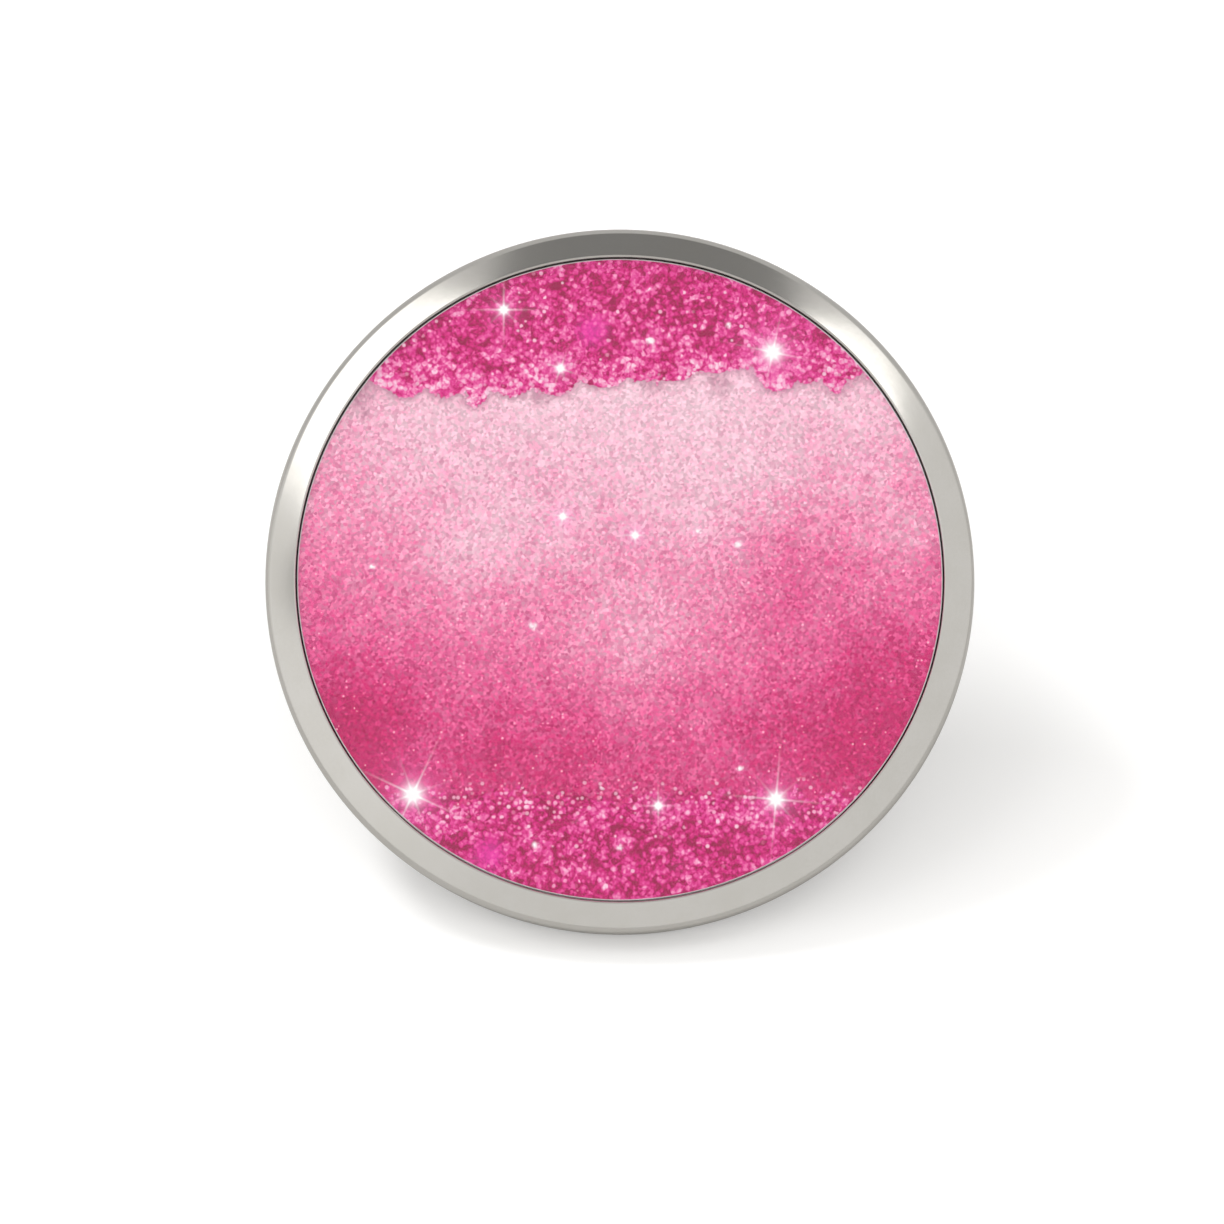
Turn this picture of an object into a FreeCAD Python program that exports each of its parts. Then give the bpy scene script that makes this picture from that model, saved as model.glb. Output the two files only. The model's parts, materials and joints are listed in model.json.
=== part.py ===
"""Round lapel pin: a metal frame holding a printed disc, with a soldered post and a butterfly clutch.

Badge pieces are drawn with the back face at height 0 and the front of the badge up. Clutch pieces are
drawn with the clutch's front face at height 0 and its ears up. The post is drawn point up, from the
badge's back face. Every piece is then placed in one frame: the pin lies on a table, leaning on the lower
back edge of its frame and on the two ears of its clutch. Millimetres, +Z up, the front towards -Y.
"""

import FreeCAD, Part
import math
import os
import re
import Sketcher

SIZES = {
    # frame, and the disc it holds
    "insert_diameter": 25.4,
    "insert_clearance": 0.05,
    "rim_width": 1.25,
    "rim_height": 2.1,
    "bevel_drop": 0.5,
    "lip_chamfer": 0.06,
    "shoulder_round": 0.45,
    "back_edge_round": 0.3,
    # what lies in the recess
    "adhesive_thickness": 0.15,
    "adhesive_inset": 0.3,
    "print_thickness": 0.6,
    "cover_thickness": 0.15,
    "cover_edge_round": 0.06,
    "cover_below_lip": 0.05,
    # post and its solder joint
    "post_diameter": 1.1,
    "post_length": 8.0,
    "post_foot_round": 0.15,
    "pad_diameter": 4.6,
    "pad_thickness": 0.35,
    "pad_edge_round": 0.08,
    "seat_depth": 0.2,
    "solder_width": 0.3,
    "solder_knee_width": 0.1,
    "solder_knee_height": 0.025,
    "solder_rise": 0.06,
    "groove_from_tip": 1.3,
    "groove_width": 0.55,
    "groove_depth": 0.17,
    "point_length": 0.75,
    "point_flat": 0.3,
    "point_round": 0.1,
    # clutch
    "clutch_diameter": 11.5,
    "clutch_depth": 5.05,
    "tip_clearance": 0.05,
    "plate_sheet": 0.3,
    "plate_rim": 1.0,
    "plate_round": 0.4,
    "tab_inner_round": 0.1,
    "hole_clearance": 0.08,
    "funnel_depth": 0.45,
    "funnel_width": 0.7,
    "layer_gap": 0.05,
    "tab_width": 3.2,
    "tab_opening": 2.2,
    "strip_sheet": 0.3,
    "strip_width": 6.0,
    "waist_width": 4.0,
    "notch_radius": 3.5,
    "bow_inset": 2.95,
    "ear_inset": 0.75,
    "ear_rise": 0.85,
    "ear_lean": 18.0,
    "ear_corner": 1.6,
    "ear_bend": 0.4,
    "heel_bend": 0.7,
    "saddle_bend": 0.8,
    "saddle_slope": 45.0,
    "jaw_reach": 1.7,
    "jaw_width": 3.6,
    "jaw_corner": 0.6,
    "jaw_clearance": 0.03,
    "slot_clearance": 0.05,
    "slot_corner": 0.35,
    "squeeze_travel": 0.5,
}

# Two positions closer than this are the same place, a shorter length is none, a smaller volume is none.
SAME_PLACE = 1e-4
NO_LENGTH = 1e-9
NO_VOLUME = 1e-6

doc = FreeCAD.newDocument("lapel_pin")
sheet = doc.addObject("Spreadsheet::Sheet", "Sizes")
for row, (word, value) in enumerate(SIZES.items(), start=1):
    sheet.set(f"A{row}", word)
    sheet.set(f"B{row}", str(value))
    sheet.setAlias(f"B{row}", word)
doc.recompute()


def cells(formula):
    """A formula in the sheet's words, with each word pointing at its cell."""
    return re.sub(r"[a-z_]+", lambda w: f"Sizes.{w[0]}" if w[0] in SIZES else w[0], formula)


def number(formula):
    """The value of a formula in the sheet's words."""
    return float(sheet.evalExpression(cells(formula)))


# Lengths that follow from the sizes above, as formulas.
INSERT_RADIUS = "insert_diameter / 2"
RECESS_RADIUS = "(insert_diameter / 2 + insert_clearance)"
FRAME_RADIUS = f"({RECESS_RADIUS} + rim_width)"
COVER_TOP = "(rim_height - cover_below_lip)"
PRINT_TOP = f"({COVER_TOP} - cover_thickness)"
ADHESIVE_TOP = f"({PRINT_TOP} - print_thickness)"
RECESS_FLOOR = f"({ADHESIVE_TOP} - adhesive_thickness)"
POST_RADIUS = "post_diameter / 2"
PAD_RADIUS = "pad_diameter / 2"
SEAT_RADIUS = "(pad_diameter / 2 + solder_width)"
CLUTCH_RADIUS = "clutch_diameter / 2"
HOLE_RADIUS = "(post_diameter / 2 + hole_clearance)"
LOW_JAW = "(funnel_depth + plate_sheet + layer_gap)"
HIGH_JAW = f"({LOW_JAW} + strip_sheet + layer_gap)"
TAB_BOTTOM = f"({HIGH_JAW} + strip_sheet + layer_gap)"
EAR_TIP = "(clutch_depth + strip_sheet + ear_rise)"
CLUTCH_GAP = "(post_length + tip_clearance - clutch_depth)"


def new_body(label):
    body = doc.addObject("PartDesign::Body", label)
    body.Label = label
    return body


def new_sketch(body, name, plane, height="0"):
    """A sketch on one of the body's own origin planes, raised along that plane's normal."""
    sketch = body.newObject("Sketcher::SketchObject", name)
    origin = [f for f in body.Origin.OriginFeatures if f.Role == plane]
    sketch.AttachmentSupport = [(origin[0], "")]
    sketch.MapMode = "FlatFace"
    if height != "0":
        sketch.setExpression("AttachmentOffset.Base.z", cells(height))
    doc.recompute()
    return sketch


def bind(sketch, kind, places, formula):
    """A dimension in a sketch that takes its value from the sheet; a point at 0 is held on the axis."""
    value = number(formula)
    if abs(value) < NO_LENGTH and kind in ("DistanceX", "DistanceY"):
        axis = -2 if kind == "DistanceX" else -1
        sketch.addConstraint(Sketcher.Constraint("PointOnObject", *places[-2:], axis))
        return
    index = sketch.addConstraint(Sketcher.Constraint(kind, *places, value))
    sketch.setExpression(f"Constraints[{index}]", cells(formula))


def rounding(before, point, after, size):
    """Where a tangent arc of this radius leaves the first side of a corner, its middle, and its end."""
    away = [(before - point).normalize(), (after - point).normalize()]
    half = away[0].getAngle(away[1]) / 2
    middle = (away[0] + away[1]).normalize()
    start, end = [point + way * (size / math.tan(half)) for way in away]
    return start, point + middle * (size / math.sin(half) - size), end


def outline(sketch, corners):
    """A closed outline of straight lines; each corner is a pair of formulas, or three with a radius."""
    points = [FreeCAD.Vector(number(x), number(y), 0) for x, y, *_ in corners]
    arcs = [
        rounding(before, point, after, number(corner[2])) if len(corner) == 3 else (point, None, point)
        for corner, before, point, after in zip(
            corners, points[-1:] + points[:-1], points, points[1:] + points[:1])
    ]
    lines = [
        sketch.addGeometry(Part.LineSegment(leaving, arriving))
        for (_, _, leaving), (arriving, _, _) in zip(arcs, arcs[1:] + arcs[:1])
    ]
    for corner, point, (start, middle, end), before, after in zip(
            corners, points, arcs, lines[-1:] + lines[:-1], lines):
        held = (after, 1)
        if middle is None:
            sketch.addConstraint(Sketcher.Constraint("Coincident", before, 2, after, 1))
        else:
            arc = sketch.addGeometry(Part.Arc(start, middle, end))
            first = 1 if sketch.getPoint(arc, 1).isEqual(start, SAME_PLACE) else 2
            sketch.addConstraint(Sketcher.Constraint("Tangent", before, 2, arc, first))
            sketch.addConstraint(Sketcher.Constraint("Tangent", arc, 3 - first, after, 1))
            bind(sketch, "Radius", (arc,), corner[2])
            held = (sketch.addGeometry(Part.Point(point), True), 1)
            for side in (before, after):
                sketch.addConstraint(Sketcher.Constraint("PointOnObject", *held, side))
        bind(sketch, "DistanceX", (-1, 1, *held), corner[0])
        bind(sketch, "DistanceY", (-1, 1, *held), corner[1])
    doc.recompute()


def circle(sketch, radius, x="0", y="0"):
    centre = FreeCAD.Vector(number(x), number(y), 0)
    ring = sketch.addGeometry(Part.Circle(centre, FreeCAD.Vector(0, 0, 1), number(radius)))
    bind(sketch, "DistanceX", (-1, 1, ring, 3), x)
    bind(sketch, "DistanceY", (-1, 1, ring, 3), y)
    bind(sketch, "Radius", (ring,), radius)


def revolve(body, name, corners):
    """A turned solid about Z, from an outline of (radius, height) corners."""
    sketch = new_sketch(body, name + "Section", "XZ_Plane")
    outline(sketch, corners)
    turned = body.newObject("PartDesign::Revolution", name)
    turned.Profile = sketch
    turned.ReferenceAxis = (sketch, ["V_Axis"])
    turned.Angle = 360
    doc.recompute()
    return turned


def disc(body, name, radius, bottom, thickness):
    sketch = new_sketch(body, name + "Section", "XY_Plane", bottom)
    circle(sketch, radius)
    pad = body.newObject("PartDesign::Pad", name)
    pad.Profile = sketch
    pad.setExpression("Length", cells(thickness))
    doc.recompute()
    return pad


def dress(body, kind, name, feature, radius, height, size):
    """A fillet or chamfer on the circular edge of a turned feature at this radius and height."""
    edges = [
        f"Edge{number_of}"
        for number_of, edge in enumerate(feature.Shape.Edges, start=1)
        if isinstance(edge.Curve, Part.Circle)
        and abs(edge.Curve.Radius - number(radius)) < SAME_PLACE
        and abs(edge.Curve.Center.z - number(height)) < SAME_PLACE
    ]
    if not edges:
        raise ValueError(f"{body.Label}: no edge for {name}")
    dressed = body.newObject(f"PartDesign::{kind}", name)
    dressed.Base = (feature, edges)
    dressed.setExpression("Radius" if kind == "Fillet" else "Size", cells(size))
    doc.recompute()
    return dressed


def pocket(body, name, sketch, kind, depth=None, up=False):
    """A cut that has to take material away."""
    before = body.Shape.Volume
    cut = body.newObject("PartDesign::Pocket", name)
    cut.Profile = sketch
    cut.Type = kind
    cut.Reversed = up
    if kind == "ThroughAll":
        cut.Midplane = True
    if depth:
        cut.setExpression("Length", cells(depth))
    doc.recompute()
    if not body.Shape.Volume < before - NO_VOLUME:
        raise ValueError(f"{body.Label}: {name} cuts nothing")
    return cut


def bezel_frame():
    """The cast frame: a floor, a raised rim that slopes down outwards, and a seat for the post's pad."""
    body = new_body("bezel_frame")
    rim_edge = "(rim_height - bevel_drop)"
    turned = revolve(body, "Casting", [
        ("0", "0"),
        (FRAME_RADIUS, "0"),
        (FRAME_RADIUS, rim_edge),
        (f"{RECESS_RADIUS} + lip_chamfer", "rim_height"),
        (RECESS_RADIUS, "rim_height - lip_chamfer"),
        (RECESS_RADIUS, RECESS_FLOOR),
        ("0", RECESS_FLOOR),
    ])
    shoulder = dress(body, "Fillet", "Shoulder", turned, FRAME_RADIUS, rim_edge, "shoulder_round")
    dress(body, "Fillet", "BackEdge", shoulder, FRAME_RADIUS, "0", "back_edge_round")
    seat = new_sketch(body, "SeatOutline", "XY_Plane")
    circle(seat, SEAT_RADIUS)
    pocket(body, "PadSeat", seat, "Length", "seat_depth", up=True)
    return body


def adhesive_pad():
    body = new_body("adhesive_pad")
    disc(body, "Adhesive", f"{INSERT_RADIUS} - adhesive_inset", RECESS_FLOOR, "adhesive_thickness")
    return body


def print_disc():
    body = new_body("print_disc")
    disc(body, "Print", INSERT_RADIUS, ADHESIVE_TOP, "print_thickness")
    return body


def clear_cover():
    body = new_body("clear_cover")
    cover = disc(body, "Cover", INSERT_RADIUS, PRINT_TOP, "cover_thickness")
    dress(body, "Fillet", "CoverEdge", cover, INSERT_RADIUS, COVER_TOP, "cover_edge_round")
    return body


def pin_post():
    """A headed post, point up: the pad sits in the frame's seat, so it starts below the back face."""
    body = new_body("pin_post")
    pad_top = "(pad_thickness - seat_depth)"
    groove_radius = f"({POST_RADIUS} - groove_depth)"
    groove_end = "(post_length - groove_from_tip)"
    groove_start = f"({groove_end} - groove_width)"
    turned = revolve(body, "Post", [
        ("0", "-seat_depth"),
        (PAD_RADIUS, "-seat_depth"),
        (PAD_RADIUS, pad_top),
        (POST_RADIUS, pad_top),
        (POST_RADIUS, groove_start),
        (groove_radius, f"{groove_start} + groove_depth"),
        (groove_radius, f"{groove_end} - groove_depth"),
        (POST_RADIUS, groove_end),
        (POST_RADIUS, "post_length - point_length"),
        ("point_flat / 2", "post_length"),
        ("0", "post_length"),
    ])
    foot = dress(body, "Fillet", "Foot", turned, POST_RADIUS, pad_top, "post_foot_round")
    point = dress(body, "Fillet", "Point", foot, "point_flat / 2", "post_length", "point_round")
    dress(body, "Fillet", "PadEdge", point, PAD_RADIUS, pad_top, "pad_edge_round")
    return body


def solder_ring():
    """Solder that fills the seat around the pad and rises against the pad's wall."""
    body = new_body("solder_ring")
    revolve(body, "Solder", [
        (PAD_RADIUS, "-seat_depth"),
        (SEAT_RADIUS, "-seat_depth"),
        (SEAT_RADIUS, "0"),
        (f"{PAD_RADIUS} + solder_knee_width", "solder_knee_height"),
        (PAD_RADIUS, "solder_rise"),
    ])
    return body


def clutch_base_plate():
    """A drawn dish with a funnel hole; two tabs stay of its lid and hold the jaws down."""
    body = new_body("clutch_base_plate")
    inside = f"({CLUTCH_RADIUS} - plate_sheet)"
    lid_top = f"({TAB_BOTTOM} + plate_sheet)"
    turned = revolve(body, "Dish", [
        (f"{HOLE_RADIUS} + funnel_width", "0"),
        (CLUTCH_RADIUS, "0"),
        (CLUTCH_RADIUS, lid_top),
        ("tab_opening / 2", lid_top),
        ("tab_opening / 2", TAB_BOTTOM),
        (inside, TAB_BOTTOM),
        (inside, "plate_sheet"),
        (f"{HOLE_RADIUS} + funnel_width + plate_sheet", "plate_sheet"),
        (f"{HOLE_RADIUS} + plate_sheet", "funnel_depth + plate_sheet"),
        (HOLE_RADIUS, "funnel_depth + plate_sheet"),
        (HOLE_RADIUS, "funnel_depth"),
    ])
    low = dress(body, "Fillet", "FrontEdge", turned, CLUTCH_RADIUS, "0", "plate_round")
    high = dress(body, "Fillet", "TabBend", low, CLUTCH_RADIUS, lid_top, "plate_round")
    dress(body, "Fillet", "TabBendInside", high, inside, TAB_BOTTOM, "tab_inner_round")
    windows = new_sketch(body, "WindowOutline", "XY_Plane", "plate_rim")
    for side in ("", "-"):
        outline(windows, [
            (f"{side}tab_width / 2", "-clutch_diameter"),
            (f"{side}clutch_diameter", "-clutch_diameter"),
            (f"{side}clutch_diameter", "clutch_diameter"),
            (f"{side}tab_width / 2", "clutch_diameter"),
        ])
    pocket(body, "Windows", windows, "Length", "clutch_depth", up=True)
    return body


def side_notches(body):
    """The two round notches that give the strip its waist."""
    notches = new_sketch(body, "NotchOutline", "XY_Plane")
    circle(notches, "notch_radius", "0", "waist_width / 2 + notch_radius")
    circle(notches, "notch_radius", "0", "-(waist_width / 2 + notch_radius)")
    pocket(body, "Waist", notches, "ThroughAll")


def trim_to(body, name, plane, kept):
    """Cuts away all that lies outside an outline, straight through the body."""
    sketch = new_sketch(body, name + "Outline", plane)
    far = "(clutch_diameter * 2)"
    outline(sketch, [(f"-{far}", f"-{far}"), (far, f"-{far}"), (far, far), (f"-{far}", far)])
    outline(sketch, kept)
    pocket(body, name, sketch, "ThroughAll")


def strip_path(sketch, jaw_middle):
    """The strip's middle line: along the jaw, up the ear, round its tip and down to the bow."""
    lean, slope = math.radians(number("90 - ear_lean")), math.radians(number("saddle_slope"))
    heel, bend, saddle = number("heel_bend"), number("ear_bend"), number("saddle_bend")
    half = "strip_sheet / 2"
    tip = FreeCAD.Vector(
        number(f"{CLUTCH_RADIUS} - ear_inset"), number(f"{EAR_TIP} - {half} - ear_bend"), 0
    )
    bow = number(f"clutch_depth + {half}")
    jaw = number(jaw_middle)

    def turn(centre, radius, angle):
        return centre + FreeCAD.Vector(radius * math.cos(angle), radius * math.sin(angle), 0)

    def arc(centre, radius, start, end):
        about = Part.Circle(centre, FreeCAD.Vector(0, 0, 1), radius)
        return sketch.addGeometry(Part.ArcOfCircle(about, start, end))

    quarter = math.pi / 2
    ear_start = turn(tip, bend, lean - quarter)
    heel_end_height = jaw + heel - heel * math.cos(lean)
    run = (ear_start.y - heel_end_height) / math.tan(lean)
    heel_centre = FreeCAD.Vector(ear_start.x - run - heel * math.sin(lean), jaw + heel, 0)
    ear_end = turn(tip, bend, quarter + slope)
    fall = ear_end.y - saddle * (1 - math.cos(slope)) - bow
    slide = FreeCAD.Vector(-fall / math.tan(slope), -fall, 0)
    saddle_start = ear_end + slide
    saddle_centre = turn(saddle_start, saddle, quarter + slope)

    jaw_line = sketch.addGeometry(Part.LineSegment(
        FreeCAD.Vector(-number("jaw_reach"), jaw, 0), turn(heel_centre, heel, -quarter)))
    heel_arc = arc(heel_centre, heel, -quarter, lean - quarter)
    ear_line = sketch.addGeometry(Part.LineSegment(turn(heel_centre, heel, lean - quarter), ear_start))
    tip_arc = arc(tip, bend, lean - quarter, quarter + slope)
    inner_line = sketch.addGeometry(Part.LineSegment(ear_end, saddle_start))
    saddle_arc = arc(saddle_centre, saddle, -quarter, slope - quarter)
    bow_line = sketch.addGeometry(Part.LineSegment(
        turn(saddle_centre, saddle, -quarter),
        FreeCAD.Vector(number(f"{CLUTCH_RADIUS} - bow_inset"), bow, 0)))

    for first, end, second, start in (
        (jaw_line, 2, heel_arc, 1),
        (heel_arc, 2, ear_line, 1),
        (ear_line, 2, tip_arc, 1),
        (tip_arc, 2, inner_line, 1),
        (inner_line, 2, saddle_arc, 2),
        (saddle_arc, 1, bow_line, 1),
    ):
        sketch.addConstraint(Sketcher.Constraint("Tangent", first, end, second, start))
    for line in (jaw_line, bow_line):
        sketch.addConstraint(Sketcher.Constraint("Horizontal", line))
    bind(sketch, "Radius", (heel_arc,), "heel_bend")
    bind(sketch, "Radius", (tip_arc,), "ear_bend")
    bind(sketch, "Radius", (saddle_arc,), "saddle_bend")
    bind(sketch, "DistanceX", (-1, 1, jaw_line, 1), "-jaw_reach")
    bind(sketch, "DistanceY", (-1, 1, jaw_line, 1), jaw_middle)
    bind(sketch, "DistanceX", (-1, 1, tip_arc, 3), f"{CLUTCH_RADIUS} - ear_inset")
    bind(sketch, "DistanceY", (-1, 1, tip_arc, 3), f"{EAR_TIP} - {half} - ear_bend")
    bind(sketch, "DistanceX", (-1, 1, bow_line, 2), f"{CLUTCH_RADIUS} - bow_inset")
    bind(sketch, "DistanceY", (-1, 1, bow_line, 2), f"clutch_depth + {half}")
    for line, start, end, angle in (
        (ear_line, 1, 2, "90 - ear_lean"),
        (inner_line, 2, 1, "saddle_slope"),
    ):
        value = math.radians(number(angle))
        index = sketch.addConstraint(Sketcher.Constraint("Angle", -1, 1, line, start, value))
        sketch.setExpression(f"Constraints[{index}]", f"({cells(angle)}) * 1 deg")
    doc.recompute()


def wing(label, jaw_bottom):
    """One ear of the strip with its jaw: a bent sheet with a slot for the post and rounded corners."""
    body = new_body(label)
    path = new_sketch(body, label + "_path", "XZ_Plane")
    strip_path(path, f"{jaw_bottom} + strip_sheet / 2")
    section = new_sketch(body, label + "_section", "YZ_Plane", "-jaw_reach")
    outline(section, [
        ("-strip_width / 2", jaw_bottom),
        ("strip_width / 2", jaw_bottom),
        ("strip_width / 2", f"{jaw_bottom} + strip_sheet"),
        ("-strip_width / 2", f"{jaw_bottom} + strip_sheet"),
    ])
    strip = body.newObject("PartDesign::AdditivePipe", "Strip")
    strip.Profile = section
    strip.Spine = (path, [])
    doc.recompute()
    side_notches(body)

    trim_to(body, "EarCorners", "YZ_Plane", [
        ("strip_width / 2", EAR_TIP, "ear_corner"),
        ("-strip_width / 2", EAR_TIP, "ear_corner"),
        ("-strip_width / 2", "-clutch_depth"),
        ("strip_width / 2", "-clutch_depth"),
    ])
    trim_to(body, "JawCorners", "XY_Plane", [
        ("-jaw_reach", "jaw_width / 2", "jaw_corner"),
        ("-jaw_reach", "-jaw_width / 2", "jaw_corner"),
        ("0", "-jaw_width / 2"),
        ("0", "-strip_width"),
        ("clutch_diameter", "-strip_width"),
        ("clutch_diameter", "strip_width"),
        ("0", "strip_width"),
        ("0", "jaw_width / 2"),
    ])
    slot = new_sketch(body, "SlotOutline", "XY_Plane")
    half_width = f"({POST_RADIUS} + slot_clearance)"
    grip_end = f"(-{POST_RADIUS} - jaw_clearance)"
    free_end = f"({POST_RADIUS} + squeeze_travel + 2 * slot_clearance)"
    outline(slot, [
        (grip_end, f"-{half_width}", "slot_corner"),
        (free_end, f"-{half_width}", "slot_corner"),
        (free_end, half_width, "slot_corner"),
        (grip_end, half_width, "slot_corner"),
    ])
    pocket(body, "Slot", slot, "ThroughAll")
    return body


def spring_bow():
    """The middle of the strip, between the ears and over the point of the post."""
    body = new_body("spring_bow")
    sketch = new_sketch(body, "BowOutline", "XY_Plane", "clutch_depth")
    end = f"({CLUTCH_RADIUS} - bow_inset)"
    outline(sketch, [
        (f"-{end}", "-strip_width / 2"),
        (end, "-strip_width / 2"),
        (end, "strip_width / 2"),
        (f"-{end}", "strip_width / 2"),
    ])
    pad = body.newObject("PartDesign::Pad", "Bow")
    pad.Profile = sketch
    pad.setExpression("Length", cells("strip_sheet"))
    doc.recompute()
    side_notches(body)
    return body


def resting_pin():
    """Where the badge's back face and its axis lie when the pin leans on its frame and its two ears.

    The lower back edge of the frame and the corners of the ears are round, so the table touches two
    arcs: the lean is the slope of the line that is tangent to both.
    """
    frame, edge = number(FRAME_RADIUS), number("back_edge_round")
    ear, corner = number(f"{CLUTCH_GAP} + {EAR_TIP}"), number("ear_corner")
    along = (frame - edge) - (number("strip_width / 2") - corner)
    behind = ear - corner + edge
    lean = math.atan2(behind, along) + math.asin((corner - edge) / math.hypot(along, behind))
    sine, cosine = math.sin(lean), math.cos(lean)
    lift = (frame - edge) * sine - edge * cosine + edge
    # The rim's shoulder is the foremost point and the upper back edge the rearmost one.
    bevel = math.atan2(number("bevel_drop"), number("rim_width - lip_chamfer"))
    shoulder = number("shoulder_round")
    shoulder_height = number("rim_height - bevel_drop")
    shoulder_height += shoulder * math.tan(bevel) - shoulder / math.cos(bevel)
    front = -(frame - shoulder) * cosine - shoulder_height * sine - shoulder
    rear = (frame - edge) * cosine - edge * sine + edge
    middle = FreeCAD.Vector(0, -(front + rear) / 2, lift)
    return FreeCAD.Placement(middle, FreeCAD.Rotation(FreeCAD.Vector(1, 0, 0), math.degrees(lean)))


def check(bodies):
    for thing in doc.Objects:
        if "Invalid" in thing.State or "Error" in thing.State:
            raise ValueError(f"{thing.Label} failed: {thing.State}")
    for body in bodies:
        if body.Shape.isNull() or not body.Shape.isValid() or len(body.Shape.Solids) != 1:
            raise ValueError(f"{body.Label} is not one valid solid")


badge_pieces = [bezel_frame(), adhesive_pad(), print_disc(), clear_cover()]
post_pieces = [pin_post(), solder_ring()]
clutch_pieces = [clutch_base_plate(), wing("right_wing", LOW_JAW), spring_bow()]
turned_pieces = [wing("left_wing", HIGH_JAW)]

badge = resting_pin()
half_turn = FreeCAD.Placement(FreeCAD.Vector(), FreeCAD.Rotation(FreeCAD.Vector(1, 0, 0), 180))
post = badge * half_turn
clutch = post * FreeCAD.Placement(FreeCAD.Vector(0, 0, number(CLUTCH_GAP)), FreeCAD.Rotation())
turned = clutch * FreeCAD.Placement(FreeCAD.Vector(), FreeCAD.Rotation(FreeCAD.Vector(0, 0, 1), 180))
pieces = []
for placement, group in (
    (badge, badge_pieces),
    (post, post_pieces),
    (clutch, clutch_pieces),
    (turned, turned_pieces),
):
    for piece in group:
        piece.Placement = placement
    pieces += group
doc.recompute()

check(pieces)
os.makedirs("parts", exist_ok=True)
for piece in pieces:
    piece.Shape.exportStep(f"parts/{piece.Label}.step")
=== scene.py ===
"""Looks of the round lapel pin.

A satin nickel frame, a glitter print under a clear cover, a post and a butterfly clutch."""

import json
import math

import bmesh
import bpy
from mathutils import Matrix, Vector


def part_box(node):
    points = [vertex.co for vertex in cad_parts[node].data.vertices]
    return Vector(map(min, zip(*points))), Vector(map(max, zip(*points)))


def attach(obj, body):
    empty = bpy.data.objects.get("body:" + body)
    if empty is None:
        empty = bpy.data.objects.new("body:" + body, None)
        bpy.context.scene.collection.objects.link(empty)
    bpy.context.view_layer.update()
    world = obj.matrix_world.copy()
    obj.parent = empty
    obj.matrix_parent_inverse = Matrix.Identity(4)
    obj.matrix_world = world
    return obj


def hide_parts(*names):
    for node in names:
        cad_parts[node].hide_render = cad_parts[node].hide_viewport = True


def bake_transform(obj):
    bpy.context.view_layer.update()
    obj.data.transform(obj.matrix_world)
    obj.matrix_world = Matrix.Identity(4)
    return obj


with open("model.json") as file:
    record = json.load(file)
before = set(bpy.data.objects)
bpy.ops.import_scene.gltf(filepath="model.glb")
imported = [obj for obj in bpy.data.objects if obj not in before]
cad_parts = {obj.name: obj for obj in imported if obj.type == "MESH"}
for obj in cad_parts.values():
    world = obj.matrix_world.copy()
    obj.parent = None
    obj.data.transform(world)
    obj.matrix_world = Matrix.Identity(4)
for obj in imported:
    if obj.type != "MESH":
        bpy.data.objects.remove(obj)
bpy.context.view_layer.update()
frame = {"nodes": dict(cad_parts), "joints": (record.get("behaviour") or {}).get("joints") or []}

MM = 0.001
SEGMENTS = 384  # round a turned piece

# Heights over the badge's back face and radii, in millimetres, as in the CAD.
FRAME_RADIUS = 14.0
RECESS_RADIUS = 12.75
INSERT_RADIUS = 12.7
SEAT_RADIUS = 2.6
SEAT_DEPTH = 0.2
RECESS_FLOOR = 1.15
ADHESIVE_TOP = 1.3
PRINT_TOP = 1.9
COVER_TOP = 2.05
RIM_EDGE = 1.6
RIM_TOP = 2.1
LIP = 0.06
SHOULDER = 0.45
BACK_EDGE = 0.3
COVER_EDGE = 0.06
CLUTCH_GAP = 3.0
BOW_HEIGHT = 5.05
BOW_SHEET = 0.3
BOW_END = 2.8
STRIP_HALF_WIDTH = 3.0
WAIST_HALF_WIDTH = 2.0
NOTCH_RADIUS = 3.5

# Details that the CAD doesn't have, in millimetres.
COVER_GAP = 0.002  # keeps the cover's underside clear of the print
BROKEN_EDGE = 0.03  # on the disc and in the frame's corners

# ---------------------------------------------------------------- places

back = Vector(next(j["axis"] for j in frame["joints"] if j["name"] == "clutch_slide")).normalized()
out = -back
right = Vector((1, 0, 0))
up = out.cross(right)


def placed(x_axis, y_axis, z_axis, origin):
    matrix = Matrix((x_axis, y_axis, z_axis)).transposed().to_4x4()
    matrix.translation = origin
    return matrix


low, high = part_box("print_disc")
back_centre = (low + high) / 2 - out * ((ADHESIVE_TOP + PRINT_TOP) / 2 * MM)
BADGE = placed(right, up, out, back_centre)
CLUTCH = placed(right, -up, back, back_centre + back * CLUTCH_GAP * MM)

# ---------------------------------------------------------------- shader nodes


def display(red, green, blue):
    """A colour as seen on a screen, 0 to 255, as the shader's linear colour."""
    def linear(value):
        value /= 255
        return value / 12.92 if value <= 0.04045 else ((value + 0.055) / 1.055) ** 2.4
    return (linear(red), linear(green), linear(blue), 1.0)


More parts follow.
